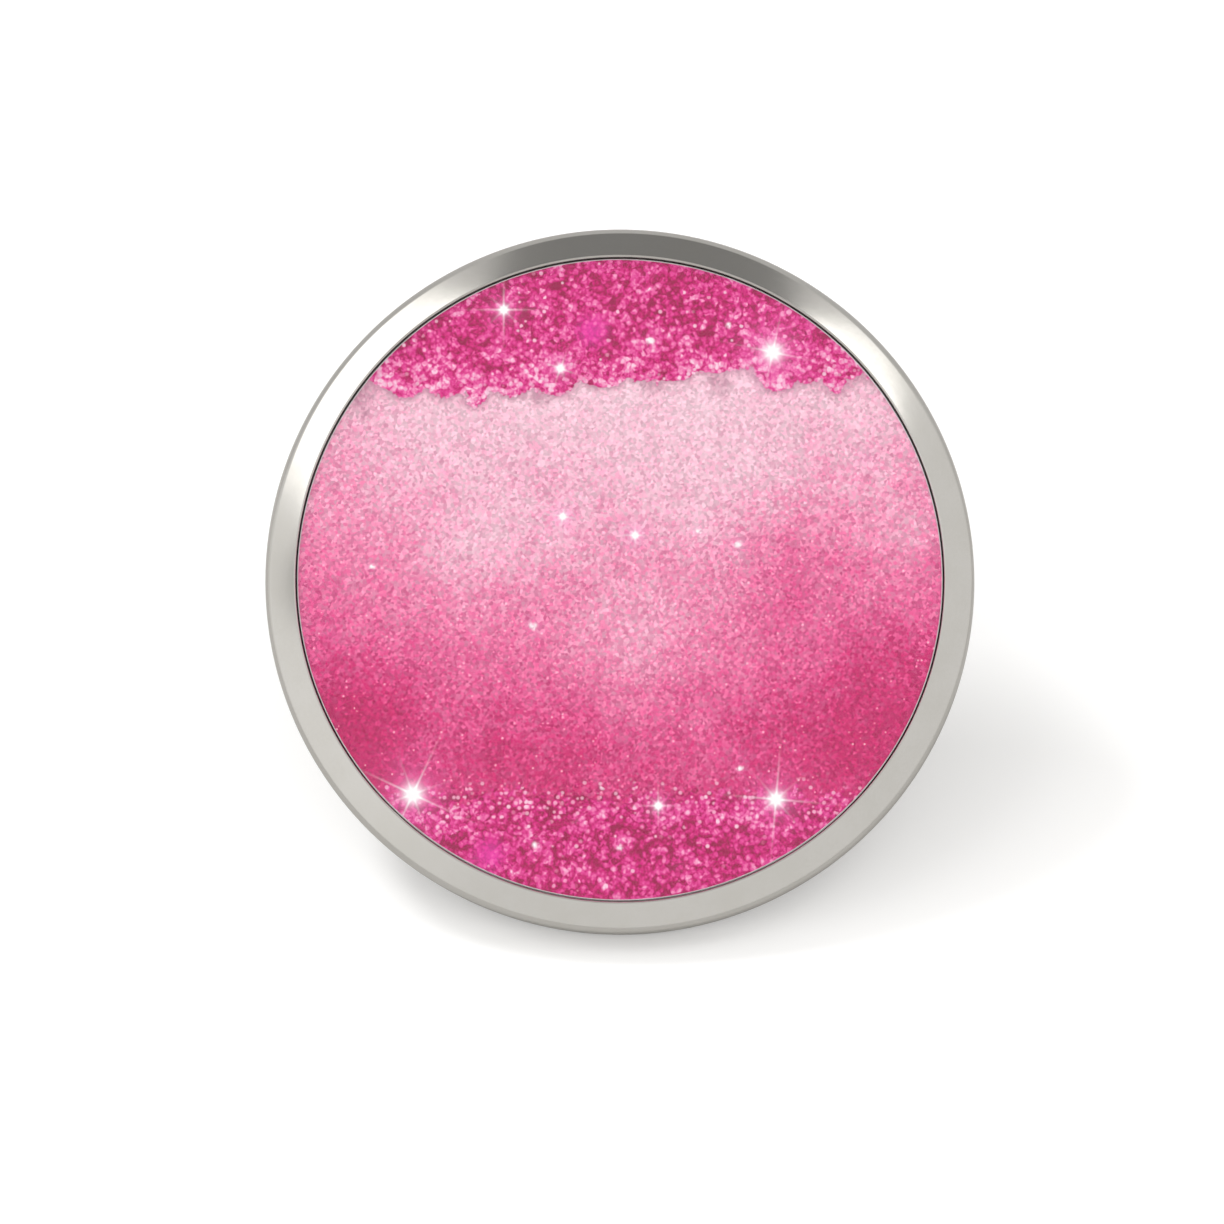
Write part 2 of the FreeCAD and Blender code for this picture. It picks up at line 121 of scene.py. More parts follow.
class Graph:
    """Short names for the nodes of one shader tree.

    A value given to a node is a number, a colour or a socket."""

    def __init__(self, tree):
        self.tree = tree

    def node(self, kind, values=None, **settings):
        made = self.tree.nodes.new("ShaderNode" + kind)
        for key, value in settings.items():
            setattr(made, key, value)
        for key, value in (values or {}).items():
            self.feed(made.inputs[key], value)
        return made

    def feed(self, socket, value):
        if isinstance(value, bpy.types.NodeSocket):
            self.tree.links.new(value, socket)
        else:
            socket.default_value = value

    def math(self, operation, *values, clamp=False):
        return self.node("Math", dict(enumerate(values)), operation=operation, use_clamp=clamp).outputs[0]

    def vector(self, operation, *values):
        made = self.node("VectorMath", dict(enumerate(values)), operation=operation)
        return made.outputs["Value" if operation in ("LENGTH", "DOT_PRODUCT", "DISTANCE") else "Vector"]

    def scaled(self, vector, factor):
        made = self.node("VectorMath", {0: vector}, operation="SCALE")
        self.feed(made.inputs["Scale"], factor)
        return made.outputs["Vector"]

    def step(self, value, start, end, low=0.0, high=1.0):
        """From low to high, smoothly, as value goes from start to end."""
        made = self.node("MapRange", interpolation_type="SMOOTHSTEP")
        for key, number in zip(range(5), (value, start, end, low, high)):
            self.feed(made.inputs[key], number)
        return made.outputs[0]

    def mix(self, factor, first, second, blend="MIX"):
        made = self.node("Mix", data_type="RGBA", blend_type=blend, clamp_factor=True)
        self.feed(made.inputs[0], factor)
        self.feed(made.inputs[6], first)
        self.feed(made.inputs[7], second)
        return made.outputs[2]

    def ramp(self, value, stops):
        made = self.node("ValToRGB", {0: value})
        ramp = made.color_ramp
        while len(ramp.elements) < len(stops):
            ramp.elements.new(1.0)
        for element, (place, colour) in zip(ramp.elements, stops):
            element.position = place
            element.color = colour
        return made.outputs[0]

    def noise(self, vector, scale, detail=2.0, roughness=0.5):
        return self.node("TexNoise", {
            "Vector": vector, "Scale": scale, "Detail": detail, "Roughness": roughness}).outputs[0]

    def cells(self, vector, scale):
        return self.node("TexVoronoi", {"Vector": vector, "Scale": scale})

    def bump(self, height, strength, distance, normal=None):
        made = self.node("Bump", {"Height": height, "Strength": strength, "Distance": distance})
        if normal is not None:
            self.feed(made.inputs["Normal"], normal)
        return made.outputs[0]


# What the clear cover mirrors on top of the print, and the darkest and lightest ink.
COVER_SHINE = 0.035
DARKEST_INK = 0.004
LIGHTEST_INK = 0.97


def printed(red, green, blue):
    """The ink that looks like this colour on a screen, through the cover's shine."""
    seen_as = display(red, green, blue)
    ink = tuple(max(DARKEST_INK, min(LIGHTEST_INK, part - COVER_SHINE)) for part in seen_as[:3])
    return ink + (1.0,)


def material(name, around=None):
    """A material, its graph, its shader, and the place on the piece in millimetres.

    The place is in the object's own frame, or in that of a part where around is given."""
    made = bpy.data.materials.new(name)
    made.use_nodes = True
    graph = Graph(made.node_tree)
    shader = made.node_tree.nodes["Principled BSDF"]
    place = graph.scaled(graph.node("TexCoord").outputs["Object"], 1 / MM)
    if around is not None:
        away = graph.vector("SUBTRACT", place, tuple(around.translation / MM))
        axes = around.to_3x3().transposed()
        parts = [graph.vector("DOT_PRODUCT", away, tuple(axis)) for axis in axes]
        place = graph.node("CombineXYZ", dict(enumerate(parts))).outputs[0]
    return made, graph, shader, place


def metal(name, tint, shade, smooth, rough, waviness, scratches, scale=1.0, around=None):
    """Plated metal: a slow wave from casting or bending, fine hairlines, and a slightly uneven finish.

    Around the badge, it also has the grainy cast back of the frame."""
    made, g, shader, place = material(name, around)
    cloud = g.noise(place, 0.55 * scale, 3.0)
    fine = g.noise(place, 9.0 * scale, 4.0, 0.6)
    hair = g.noise(g.vector("MULTIPLY", place, (3.0, 60.0, 22.0)), 1.0, 2.0)
    worn = g.math("MULTIPLY_ADD", fine, 0.35, g.math("MULTIPLY", cloud, 0.65))
    base = g.mix(g.step(worn, 0.32, 0.68), tint, shade)
    uneven = g.math("MULTIPLY_ADD", hair, 0.3, g.math("MULTIPLY", worn, 0.7))
    roughness = g.step(uneven, 0.3, 0.7, smooth, rough)
    wave = g.bump(cloud, waviness, 0.3 * MM)
    lines = g.bump(hair, scratches, 0.01 * MM, wave)
    if around is not None:
        height = g.node("SeparateXYZ", {0: place}).outputs[2]
        at_back = g.step(height, 0.02, 0.0)
        grains = g.noise(place, 4.5, 5.0, 0.7)
        lines = g.bump(grains, g.math("MULTIPLY", at_back, 0.55), 0.08 * MM, lines)
        roughness = g.math("MULTIPLY_ADD", at_back, 0.16, roughness)
        pits = g.math("MULTIPLY", g.step(grains, 0.5, 0.34), g.math("MULTIPLY", at_back, 0.35))
        base = g.mix(pits, base, display(120, 117, 112))
    shader.inputs["Metallic"].default_value = 1.0
    g.feed(shader.inputs["Base Color"], base)
    g.feed(shader.inputs["Roughness"], roughness)
    g.feed(shader.inputs["Normal"], lines)
    return made


def glint_group():
    """A glint of the print: a soft white core, four long thin rays and four between them, and a wide halo."""
    tree = bpy.data.node_groups.new("glint", "ShaderNodeTree")
    for name, kind in (("Place", "NodeSocketVector"), ("Centre", "NodeSocketVector"),
                       ("Core", "NodeSocketFloat"), ("Ray", "NodeSocketFloat"), ("Turn", "NodeSocketFloat")):
        tree.interface.new_socket(name, in_out="INPUT", socket_type=kind)
    for name in ("Light", "Halo"):
        tree.interface.new_socket(name, in_out="OUTPUT", socket_type="NodeSocketFloat")
    g = Graph(tree)
    given = tree.nodes.new("NodeGroupInput").outputs
    result = tree.nodes.new("NodeGroupOutput")
    away = g.vector("SUBTRACT", given["Place"], given["Centre"])
    turned = g.node("VectorRotate", {"Vector": away, "Angle": given["Turn"]}, rotation_type="Z_AXIS")
    xyz = g.node("SeparateXYZ", {0: turned.outputs[0]}).outputs
    along, across = xyz[0], xyz[1]

    def ray(length_axis, width_axis, length):
        run = g.math("DIVIDE", g.math("ABSOLUTE", length_axis), length)
        side = g.math("MULTIPLY", width_axis, 24.0)
        return g.math("EXPONENT", g.math("MULTIPLY", g.math("MULTIPLY_ADD", side, side, run), -1.0))

    def pair(first, second, length):
        return g.math("ADD", ray(first, second, length), ray(second, first, length))

    rising = g.math("MULTIPLY", g.math("ADD", along, across), 0.7071)
    falling = g.math("MULTIPLY", g.math("SUBTRACT", along, across), 0.7071)
    rays = pair(along, across, given["Ray"])
    between = pair(rising, falling, g.math("MULTIPLY", given["Ray"], 0.6))
    spread = g.math("DIVIDE", g.vector("LENGTH", away), given["Core"])
    core = g.math("EXPONENT", g.math("MULTIPLY", g.math("MULTIPLY", spread, spread), -1.0))
    beams = g.math("MULTIPLY", g.math("MULTIPLY_ADD", between, 0.7, rays), 0.8)
    g.feed(result.inputs["Light"], g.math("MULTIPLY_ADD", core, 1.35, beams))
    g.feed(result.inputs["Halo"], g.math("EXPONENT", g.math("MULTIPLY", spread, -0.6)))
    return tree


# Places on the print, in millimetres from its middle. Those of the glints, clouds and glows were read off
# the reference picture's pixels and aren't worked out from a dimension; report.md names this as open.
DRIP_EDGE = 6.72  # about the lowest that the upper band's lobes reach
FOOT_TOP = -8.5  # about where the lower band begins

# Glints: x, y, core, ray length, turn in degrees.
GLINTS = (
    (6.05, 8.95, 0.34, 0.6, 12),
    (-4.6, 10.65, 0.17, 0.5, 0),
    (-8.1, -8.55, 0.36, 0.9, 25),
    (6.1, -8.75, 0.28, 0.75, 5),
    (-2.35, 8.3, 0.15, 0.3, 20),
    (-2.25, 2.4, 0.13, 0.3, 10),
    (0.6, 1.65, 0.13, 0.3, 0),
    (1.5, -9.0, 0.14, 0.3, 0),
)

# Soft clouds of the fade: x, y, reach, how much paler (+) or deeper (-) the middle is.
CLOUDS = (
    (-5.6, 1.4, 3.6, 3.0), (0.4, -3.0, 3.6, 3.2), (6.8, 0.0, 5.0, -3.2), (-10.2, -5.8, 4.8, -3.5),
    (10.6, -4.4, 4.8, -3.0), (11.2, 1.7, 2.0, 2.5), (-3.6, -6.5, 4.0, -2.0), (7.0, -6.0, 4.0, -2.5),
    (3.5, 3.5, 4.0, 2.0),
)

# Glows of stronger magenta: x, y, reach.
GLOWS = ((-1.1, 9.8, 1.0), (-5.1, -10.9, 1.0))


def glitter_print():
    """Pink glitter: a coarse deep band with a lobed lower edge, a pale cloud fading down, a coarse foot."""
    made, g, shader, place = material("glitter_print", BADGE)
    xyz = g.node("SeparateXYZ", {0: place}).outputs
    x, y, z = xyz[0], xyz[1], xyz[2]
    flat = g.node("CombineXYZ", {0: x, 1: y, 2: 0.0}).outputs[0]

    def pick(cells):
        """Three random numbers of each cell."""
        return g.node("SeparateColor", {0: cells.outputs["Color"]}).outputs

    def centred(value):
        return g.math("SUBTRACT", value, 0.5)

    fine = g.cells(flat, 8.5)
    fine_pick = pick(fine)
    small = g.cells(flat, 5.2)
    small_pick = pick(small)
    coarse = g.cells(flat, 3.2)
    coarse_pick = pick(coarse)

    # the fade from pale to deep pink, bowed so that the sides are deeper, with soft clouds and a fine grain
    mottle = g.noise(flat, 1.1, 3.0, 0.6)
    level = g.math("SUBTRACT", y, g.math("MULTIPLY", g.math("MULTIPLY", x, x), 0.026))
    for at_x, at_y, reach, lift in CLOUDS:
        away = g.vector("DISTANCE", flat, (at_x, at_y, 0.0))
        level = g.math("ADD", level, g.step(away, reach, 0.0, 0.0, lift))
    level = g.math("MULTIPLY_ADD", centred(g.noise(flat, 0.35, 2.0)), 5.0, level)
    level = g.math("MULTIPLY_ADD", centred(mottle), 5.0, level)
    level = g.math("MULTIPLY_ADD", centred(fine_pick[0]), 5.0, level)
    fade = g.ramp(g.math("DIVIDE", g.math("ADD", level, 16.0), 30.0), (
        (0.0, printed(186, 40, 100)), (0.2, printed(207, 66, 122)), (0.28, printed(219, 88, 142)),
        (0.35, printed(227, 104, 155)), (0.42, printed(233, 124, 168)), (0.5, printed(238, 145, 182)),
        (0.57, printed(240, 165, 195)), (0.64, printed(243, 184, 207)), (0.75, printed(243, 200, 216)),
        (1.0, printed(250, 222, 233))))
    fade = g.scaled(fade, g.math("MULTIPLY_ADD", fine_pick[1], 0.42, 0.79))
    dots = g.math("MULTIPLY", g.step(fine_pick[1], 0.93, 1.0), g.step(fine.outputs["Distance"], 0.45, 0.2))
    fade = g.mix(g.math("MULTIPLY", dots, 0.6), fade, printed(255, 232, 241))

    # the lobed edge of the upper band: millimetres above it
    wander = g.node("TexNoise", {"Vector": flat, "Scale": 1.3}).outputs[1]
    warped = g.vector("ADD", flat, g.scaled(wander, 0.5))
    lobes = g.cells(warped, 0.66).outputs["Distance"]
    edge = g.math("SUBTRACT", y, g.math("MULTIPLY", lobes, 1.65))
    edge = g.math("MULTIPLY_ADD", x, -0.035, edge)
    edge = g.math("MULTIPLY_ADD", small.outputs["Distance"], -0.2, edge)
    edge = g.math("MULTIPLY_ADD", fine_pick[2], 0.1, edge)
    edge = g.math("SUBTRACT", edge, DRIP_EDGE)
    upper = g.step(edge, -0.03, 0.03)
    shadow = g.step(edge, -0.55, 0.1)

    # the ragged edge of the lower band
    ragged = g.math("MULTIPLY_ADD", centred(g.noise(flat, 1.1, 4.0, 0.7)), 1.4, y)
    ragged = g.math("MULTIPLY_ADD", centred(small_pick[2]), 0.9, ragged)
    foot = g.step(ragged, FOOT_TOP, FOOT_TOP - 0.25)
    foot_edge = g.math("MULTIPLY", g.step(ragged, -8.0, -8.6), g.step(ragged, -10.2, -9.0))

    # coarse glitter of both bands: beads of different shades, each with a darker outline
    patches = g.noise(flat, 0.9, 2.0, 0.5)
    lively = g.math("MULTIPLY_ADD", centred(small_pick[0]), 0.46, 0.4)
    lively = g.math("MULTIPLY_ADD", centred(coarse_pick[0]), 0.26, lively)
    lively = g.math("MULTIPLY_ADD", centred(fine_pick[0]), 0.34, lively)
    lively = g.math("MULTIPLY_ADD", centred(patches), 0.9, lively)
    lively = g.math("ADD", lively, g.step(small.outputs["Distance"], 0.3, 0.75, 0.05, -0.14))
    lively = g.math("ADD", lively, g.math("MULTIPLY", upper, g.step(edge, 2.4, 0.2, 0.0, 0.2)))
    chunky = g.ramp(lively, (
        (0.05, printed(162, 26, 92)), (0.22, printed(194, 40, 112)), (0.38, printed(218, 62, 138)),
        (0.52, printed(230, 84, 158)), (0.66, printed(240, 120, 178)), (0.82, printed(246, 166, 204)),
        (1.0, printed(254, 214, 232))))
    rare = g.step(small_pick[1], 0.95, 0.99)
    specks = g.math("MULTIPLY", rare, g.step(small.outputs["Distance"], 0.5, 0.3))
    chunky = g.mix(g.math("MULTIPLY", specks, 0.7), chunky, printed(255, 228, 241))

    # silvery crystals close to the drip edge, and flecks where the lower band begins
    crystals = g.step(small.outputs["Distance"], 0.5, 0.25)
    crystals = g.math("MULTIPLY", crystals, g.step(small_pick[1], 0.5, 0.56))
    crystals = g.math("MULTIPLY", crystals, g.math("MULTIPLY", upper, g.step(edge, 1.3, 0.1)))
    flecks = g.step(small.outputs["Distance"], 0.5, 0.3)
    flecks = g.math("MULTIPLY", flecks, g.step(small_pick[1], 0.6, 0.66))
    flecks = g.math("MULTIPLY", flecks, foot_edge)

    colour = g.mix(g.math("MULTIPLY", shadow, 0.6), fade, printed(168, 104, 132))
    colour = g.mix(upper, colour, chunky)
    colour = g.mix(g.math("MULTIPLY", crystals, 0.5), colour, printed(232, 184, 206))
    colour = g.mix(foot, colour, chunky)
    colour = g.mix(g.math("MULTIPLY", flecks, 0.6), colour, printed(250, 204, 224))

    # glows of stronger magenta, then the glints
    for at_x, at_y, size in GLOWS:
        away = g.vector("DISTANCE", flat, (at_x, at_y, 0.0))
        colour = g.mix(g.step(away, size, 0.0, 0.0, 0.5), colour, printed(254, 84, 196))
    glint = glint_group()
    light, halo = 0.0, 0.0
    for at_x, at_y, core, ray, turn in GLINTS:
        shine = g.node("Group", node_tree=glint)
        for key, value in (("Place", flat), ("Centre", (at_x, at_y, 0.0)), ("Core", core), ("Ray", ray),
                           ("Turn", math.radians(turn))):
            g.feed(shine.inputs[key], value)
        light = g.math("ADD", shine.outputs["Light"], light)
        halo = g.math("ADD", shine.outputs["Halo"], halo)
    # each grain shows its own small offset of the flake behind it, so the flakes are blocky
    jagged = g.vector("SUBTRACT", fine.outputs["Color"], (0.5, 0.5, 0.5))
    jagged = g.vector("MULTIPLY", jagged, (0.11, 0.11, 0.0))
    jagged = g.vector("ADD", jagged, flat)
    # the flakes are scattered at random, one in some cells of a wide pattern, and more often in the bands
    field = g.cells(flat, 0.62)
    field_pick = pick(field)
    bands = g.math("MAXIMUM", upper, foot)
    chosen = g.math("GREATER_THAN", field_pick[0], g.math("MULTIPLY_ADD", bands, -0.45, 0.88))
    away = g.vector("DISTANCE", jagged, field.outputs["Position"])
    away = g.math("DIVIDE", away, g.step(field_pick[1], 0.0, 1.0, 0.09, 0.15))
    spark = g.math("EXPONENT", g.math("MULTIPLY", g.math("POWER", away, 3.0), -1.0))
    light = g.math("MULTIPLY_ADD", spark, chosen, light)
    glow = g.math("MULTIPLY", g.math("EXPONENT", g.math("MULTIPLY", away, -0.9)), chosen)
    halo = g.math("MULTIPLY_ADD", glow, 0.5, halo)
    colour = g.mix(g.math("MULTIPLY", halo, 0.85, clamp=True), colour, printed(255, 138, 208))
    colour = g.mix(g.math("MULTIPLY", light, 1.0, clamp=True), colour, printed(255, 252, 254))

    # the cut edge and the underside are bare white-coated metal
    radius = g.vector("LENGTH", flat)
    inked = g.math("MULTIPLY", g.step(radius, INSERT_RADIUS - 0.035, INSERT_RADIUS - 0.05),
                   g.step(z, PRINT_TOP - 0.03, PRINT_TOP - 0.01))
    colour = g.mix(inked, printed(236, 232, 234), colour)
    g.feed(shader.inputs["Base Color"], colour)
    g.feed(shader.inputs["Roughness"], g.step(small_pick[0], 0.0, 1.0, 0.4, 0.62))
    # the cover is bonded to the ink, so little is mirrored between them
    shader.inputs["Specular IOR Level"].default_value = 0.1
    g.feed(shader.inputs["Normal"], g.bump(small.outputs["Distance"], 0.05, 0.01 * MM))
    return made


def clear_plastic():
    """The clear cover: it lets the print through and mirrors a little, with faint handling marks."""
    made, g, shader, place = material("clear_plastic")
    made.node_tree.nodes.remove(shader)
    marks = g.noise(g.vector("MULTIPLY", place, (1.2, 7.0, 1.0)), 1.6, 4.0, 0.6)
    handled = g.step(marks, 0.35, 0.75, 0.03, 0.12)
    gloss = g.node("BsdfAnisotropic", {"Color": (1, 1, 1, 1), "Roughness": handled})
    clear = g.node("BsdfTransparent", {"Color": (0.985, 0.985, 0.985, 1)})
    outer = g.math("SUBTRACT", 1.0, g.node("NewGeometry").outputs["Backfacing"])
    share = g.math("MULTIPLY", g.node("Fresnel", {"IOR": 1.49}).outputs[0], outer)
    both = g.node("MixShader", {0: share, 1: clear.outputs[0], 2: gloss.outputs[0]})
    g.feed(made.node_tree.nodes["Material Output"].inputs["Surface"], both.outputs[0])
    return made


def soft_adhesive():
    made, g, shader, place = material("soft_adhesive")
    foam = g.cells(place, 5.0).outputs["Distance"]
    tone = g.mix(g.noise(place, 1.5, 3.0), display(226, 222, 208), display(206, 200, 184))
    g.feed(shader.inputs["Base Color"], tone)
    g.feed(shader.inputs["Roughness"], g.step(foam, 0.0, 0.7, 0.5, 0.8))
    g.feed(shader.inputs["Normal"], g.bump(foam, 0.4, 0.02 * MM))
    return made


nickel = metal(
    "satin_nickel", display(200, 198, 194), display(196, 194, 189), smooth=0.13, rough=0.18,
    waviness=0.012, scratches=0.03, around=BADGE)
bright_nickel = metal(
    "bright_nickel", display(206, 203, 198), display(197, 194, 187), smooth=0.1, rough=0.18,
    waviness=0.05, scratches=0.1, scale=2.5)
spring_nickel = metal(
    "spring_nickel", display(204, 200, 193), display(193, 188, 180), smooth=0.13, rough=0.24,
    waviness=0.07, scratches=0.22, scale=2.0)
solder_metal = metal(
    "solder", display(190, 190, 191), display(164, 164, 166), smooth=0.2, rough=0.42,
    waviness=0.25, scratches=0.3, scale=6.0)
print_colour = glitter_print()
cover_clear = clear_plastic()
adhesive = soft_adhesive()

# ---------------------------------------------------------------- meshes


def arc(centre, radius, start, end, steps=10):
    """Points of an arc in a section, angles in degrees from outwards, towards the front."""
    return [
        (centre[0] + radius * math.cos(math.radians(start + (end - start) * i / steps)),
         centre[1] + radius * math.sin(math.radians(start + (end - start) * i / steps)))
        for i in range(steps + 1)
    ]


def new_piece(name, mesh, matrix, finish, sharp=28.0):
    mesh.transform(matrix)
    mesh.materials.clear()
    mesh.materials.append(finish)
    mesh.polygons.foreach_set("use_smooth", [True] * len(mesh.polygons))
    mesh.set_sharp_from_angle(angle=math.radians(sharp))
    piece = bpy.data.objects.new(name, mesh)
    bpy.context.scene.collection.objects.link(piece)
    return piece


def lathe(name, section, matrix, finish, sharp=28.0):
    """A turned piece, from its section as (radius, height) points in millimetres, from axis to axis."""
    bm = bmesh.new()
    rings = []
    for radius, height in section:
        if radius == 0:
            rings.append([bm.verts.new((0, 0, height * MM))] * SEGMENTS)
        else:
            rings.append([
                bm.verts.new((radius * MM * math.cos(turn), radius * MM * math.sin(turn), height * MM))
                for turn in (2 * math.pi * i / SEGMENTS for i in range(SEGMENTS))
            ])
    for first, second in zip(rings, rings[1:]):
        for i in range(SEGMENTS):
            j = (i + 1) % SEGMENTS
            corners = dict.fromkeys((first[i], first[j], second[j], second[i]))
            bm.faces.new(list(corners))
    bmesh.ops.recalc_face_normals(bm, faces=bm.faces)
    mesh = bpy.data.meshes.new(name)
    bm.to_mesh(mesh)
    bm.free()
    return new_piece(name, mesh, matrix, finish, sharp)


def steps_between(first, second, count):
    """Points from first to second, both included, so that a wide flat ring isn't one long face."""
    return [
        (first[0] + (second[0] - first[0]) * i / count, first[1] + (second[1] - first[1]) * i / count)
        for i in range(count + 1)
    ]


def frame_section():
    slope = math.degrees(math.atan2(RIM_TOP - RIM_EDGE, FRAME_RADIUS - RECESS_RADIUS - LIP))
    lean = math.radians(slope)
    # the shoulder's round touches the side wall and the bevel
    shoulder = (FRAME_RADIUS - SHOULDER, RIM_EDGE + SHOULDER * math.tan(lean) - SHOULDER / math.cos(lean))
    crest, tiny = 0.05, BROKEN_EDGE
    top = (RECESS_RADIUS + LIP, RIM_TOP)
    corner = (RECESS_RADIUS, RIM_TOP - LIP)
    return [
        (0, SEAT_DEPTH),
        (SEAT_RADIUS - tiny, SEAT_DEPTH),
        (SEAT_RADIUS, SEAT_DEPTH - tiny),
        *arc((SEAT_RADIUS + crest, crest), crest, 180, 270, 5),
        *steps_between((5.5, 0), (FRAME_RADIUS - BACK_EDGE - 0.4, 0), 4),
        *arc((FRAME_RADIUS - BACK_EDGE, BACK_EDGE), BACK_EDGE, -90, 0, 12),
        *arc(shoulder, SHOULDER, 0, 90 - slope, 16),
        (top[0] + 0.35, top[1] - 0.35 * math.tan(lean)),
        (top[0] + crest * math.cos(lean), top[1] - crest * math.sin(lean)),
        (top[0] + crest * 0.2, top[1] - crest * 0.12),
        (top[0] - crest * 0.6, top[1] - crest * 0.72),
        (corner[0] + tiny * 0.8, corner[1] + tiny * 0.8),
        (corner[0] + tiny * 0.1, corner[1]),
        (corner[0], corner[1] - tiny),
        (RECESS_RADIUS, RECESS_FLOOR + tiny),
        (RECESS_RADIUS - tiny, RECESS_FLOOR),
        *steps_between((9.0, RECESS_FLOOR), (3.0, RECESS_FLOOR), 2),
        (0, RECESS_FLOOR),
    ]


casting = lathe("frame_casting", frame_section(), BADGE, nickel)
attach(casting, "badge")
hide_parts("bezel_frame")

printed_disc = lathe("printed_disc", [
    (0, ADHESIVE_TOP), (6, ADHESIVE_TOP), (INSERT_RADIUS - BROKEN_EDGE, ADHESIVE_TOP),
    (INSERT_RADIUS, ADHESIVE_TOP + BROKEN_EDGE), (INSERT_RADIUS, PRINT_TOP - BROKEN_EDGE),
    (INSERT_RADIUS - BROKEN_EDGE, PRINT_TOP), (INSERT_RADIUS - 0.3, PRINT_TOP),
    (8, PRINT_TOP), (4, PRINT_TOP), (0, PRINT_TOP)], BADGE, print_colour)
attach(printed_disc, "badge")
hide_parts("print_disc")

cover = lathe("cover_disc", [
    (0, PRINT_TOP + COVER_GAP), (6, PRINT_TOP + COVER_GAP), (INSERT_RADIUS - 0.02, PRINT_TOP + COVER_GAP),
    (INSERT_RADIUS, PRINT_TOP + 0.02),
    *arc((INSERT_RADIUS - COVER_EDGE, COVER_TOP - COVER_EDGE), COVER_EDGE, 0, 90, 8),
    (9, COVER_TOP), (4, COVER_TOP), (0, COVER_TOP)], BADGE, cover_clear)
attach(cover, "badge")
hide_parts("clear_cover")


def refined(name, node, body, finish, bevel, seam=False):
    """A CAD node with its facets smoothed and its sharp edges broken; the strip's cut ends stay sharp."""
    source = frame["nodes"][node]
    bm = bmesh.new()
    bm.from_mesh(source.data)
    bmesh.ops.remove_doubles(bm, verts=bm.verts, dist=0.0005 * MM)
    bmesh.ops.dissolve_limit(bm, angle_limit=math.radians(0.4), verts=bm.verts, edges=bm.edges)
    weights = bm.edges.layers.float.new("bevel_weight_edge")
    for edge in bm.edges:
        at_seam = seam and all(abs(abs(v.co.x) - BOW_END * MM) < 0.01 * MM for v in edge.verts)
        if len(edge.link_faces) == 2 and edge.calc_face_angle() > math.radians(35) and not at_seam:
            edge[weights] = 1.0
    mesh = bpy.data.meshes.new(name)
    bm.to_mesh(mesh)
    bm.free()
    piece = new_piece(name, mesh, Matrix.Identity(4), finish)
    broken = piece.modifiers.new("edges", "BEVEL")
    broken.limit_method = "WEIGHT"
    broken.width = bevel * MM
    broken.segments = 3
    even = piece.modifiers.new("flats", "WEIGHTED_NORMAL")
    even.keep_sharp = True
    made = bpy.data.meshes.new_from_object(piece.evaluated_get(bpy.context.evaluated_depsgraph_get()))
    piece.modifiers.clear()
    piece.data = made
    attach(piece, body)
    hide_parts(node)
    return piece


refined("post_turning", "pin_post", "badge", bright_nickel, 0.02)
refined("solder_fillet", "solder_ring", "badge", solder_metal, 0.02)
refined("clutch_dish", "clutch_base_plate", "clutch", bright_nickel, 0.04)
refined("left_ear_strip", "left_wing", "left_ear", spring_nickel, 0.04, seam=True)
refined("right_ear_strip", "right_wing", "right_ear", spring_nickel, 0.04, seam=True)


def bow_half(name, side):
    """Half of the strip's middle, from the post to one ear, rounded at its long edges."""
    round_edge, steps = 0.05, 28
    bm = bmesh.new()
    rings = []
    for i in range(steps + 1):
        x = BOW_END * i / steps
        notch = WAIST_HALF_WIDTH + NOTCH_RADIUS - math.sqrt(NOTCH_RADIUS ** 2 - x ** 2)
        width = min(STRIP_HALF_WIDTH, notch)
        middle = (width - round_edge, BOW_HEIGHT + BOW_SHEET - round_edge)
        lower = (width - round_edge, BOW_HEIGHT + round_edge)
        half = arc(lower, round_edge, -90, 0, 4) + arc(middle, round_edge, 0, 90, 4)
        outline = half + [(-y, z) for y, z in reversed(half)]
        rings.append([bm.verts.new((side * x * MM, y * MM, z * MM)) for y, z in outline])
    count = len(rings[0])
    for first, second in zip(rings, rings[1:]):
        for i in range(count):
            j = (i + 1) % count
            bm.faces.new((first[i], first[j], second[j], second[i]))
    bm.faces.new(rings[0])
    bm.faces.new(rings[-1])
    bmesh.ops.recalc_face_normals(bm, faces=bm.faces)
    mesh = bpy.data.meshes.new(name)
    bm.to_mesh(mesh)
    bm.free()
    piece = new_piece(name, mesh, CLUTCH, spring_nickel, 50.0)
    middle = CLUTCH @ Vector((0, 0, (BOW_HEIGHT + BOW_SHEET / 2) * MM))
    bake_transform(piece)
    return piece


for half in (bow_half("bow_left", -1), bow_half("bow_right", 1)):
    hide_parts("spring_bow")

hidden = frame["nodes"]["adhesive_pad"].data.materials
hidden.clear()
hidden.append(adhesive)

# ---------------------------------------------------------------- stage, light and camera


def grey(level):
    return (level, level * 0.988, level * 0.972, 1)


floor_mesh = bpy.data.meshes.new("floor")
reach = 3.0  # metres each way
floor_mesh.from_pydata(
    [(-reach, -reach, 0), (reach, -reach, 0), (reach, reach, 0), (-reach, reach, 0)], [], [(0, 1, 2, 3)])
floor = bpy.data.objects.new("floor", floor_mesh)
floor.location.z = -0.02 * MM
bpy.context.scene.collection.objects.link(floor)
floor_finish, floor_graph, floor_shader, floor_place = material("white_table")
floor_graph.feed(floor_shader.inputs["Base Color"], floor_graph.mix(
    floor_graph.noise(floor_place, 0.02), (0.88, 0.88, 0.88, 1), (0.87, 0.87, 0.87, 1)))
floor_shader.inputs["Roughness"].default_value = 0.9
floor_shader.inputs["Emission Color"].default_value = (1, 1, 1, 1)
floor_shader.inputs["Emission Strength"].default_value = 0.17
floor_shader.inputs["Specular IOR Level"].default_value = 0.1
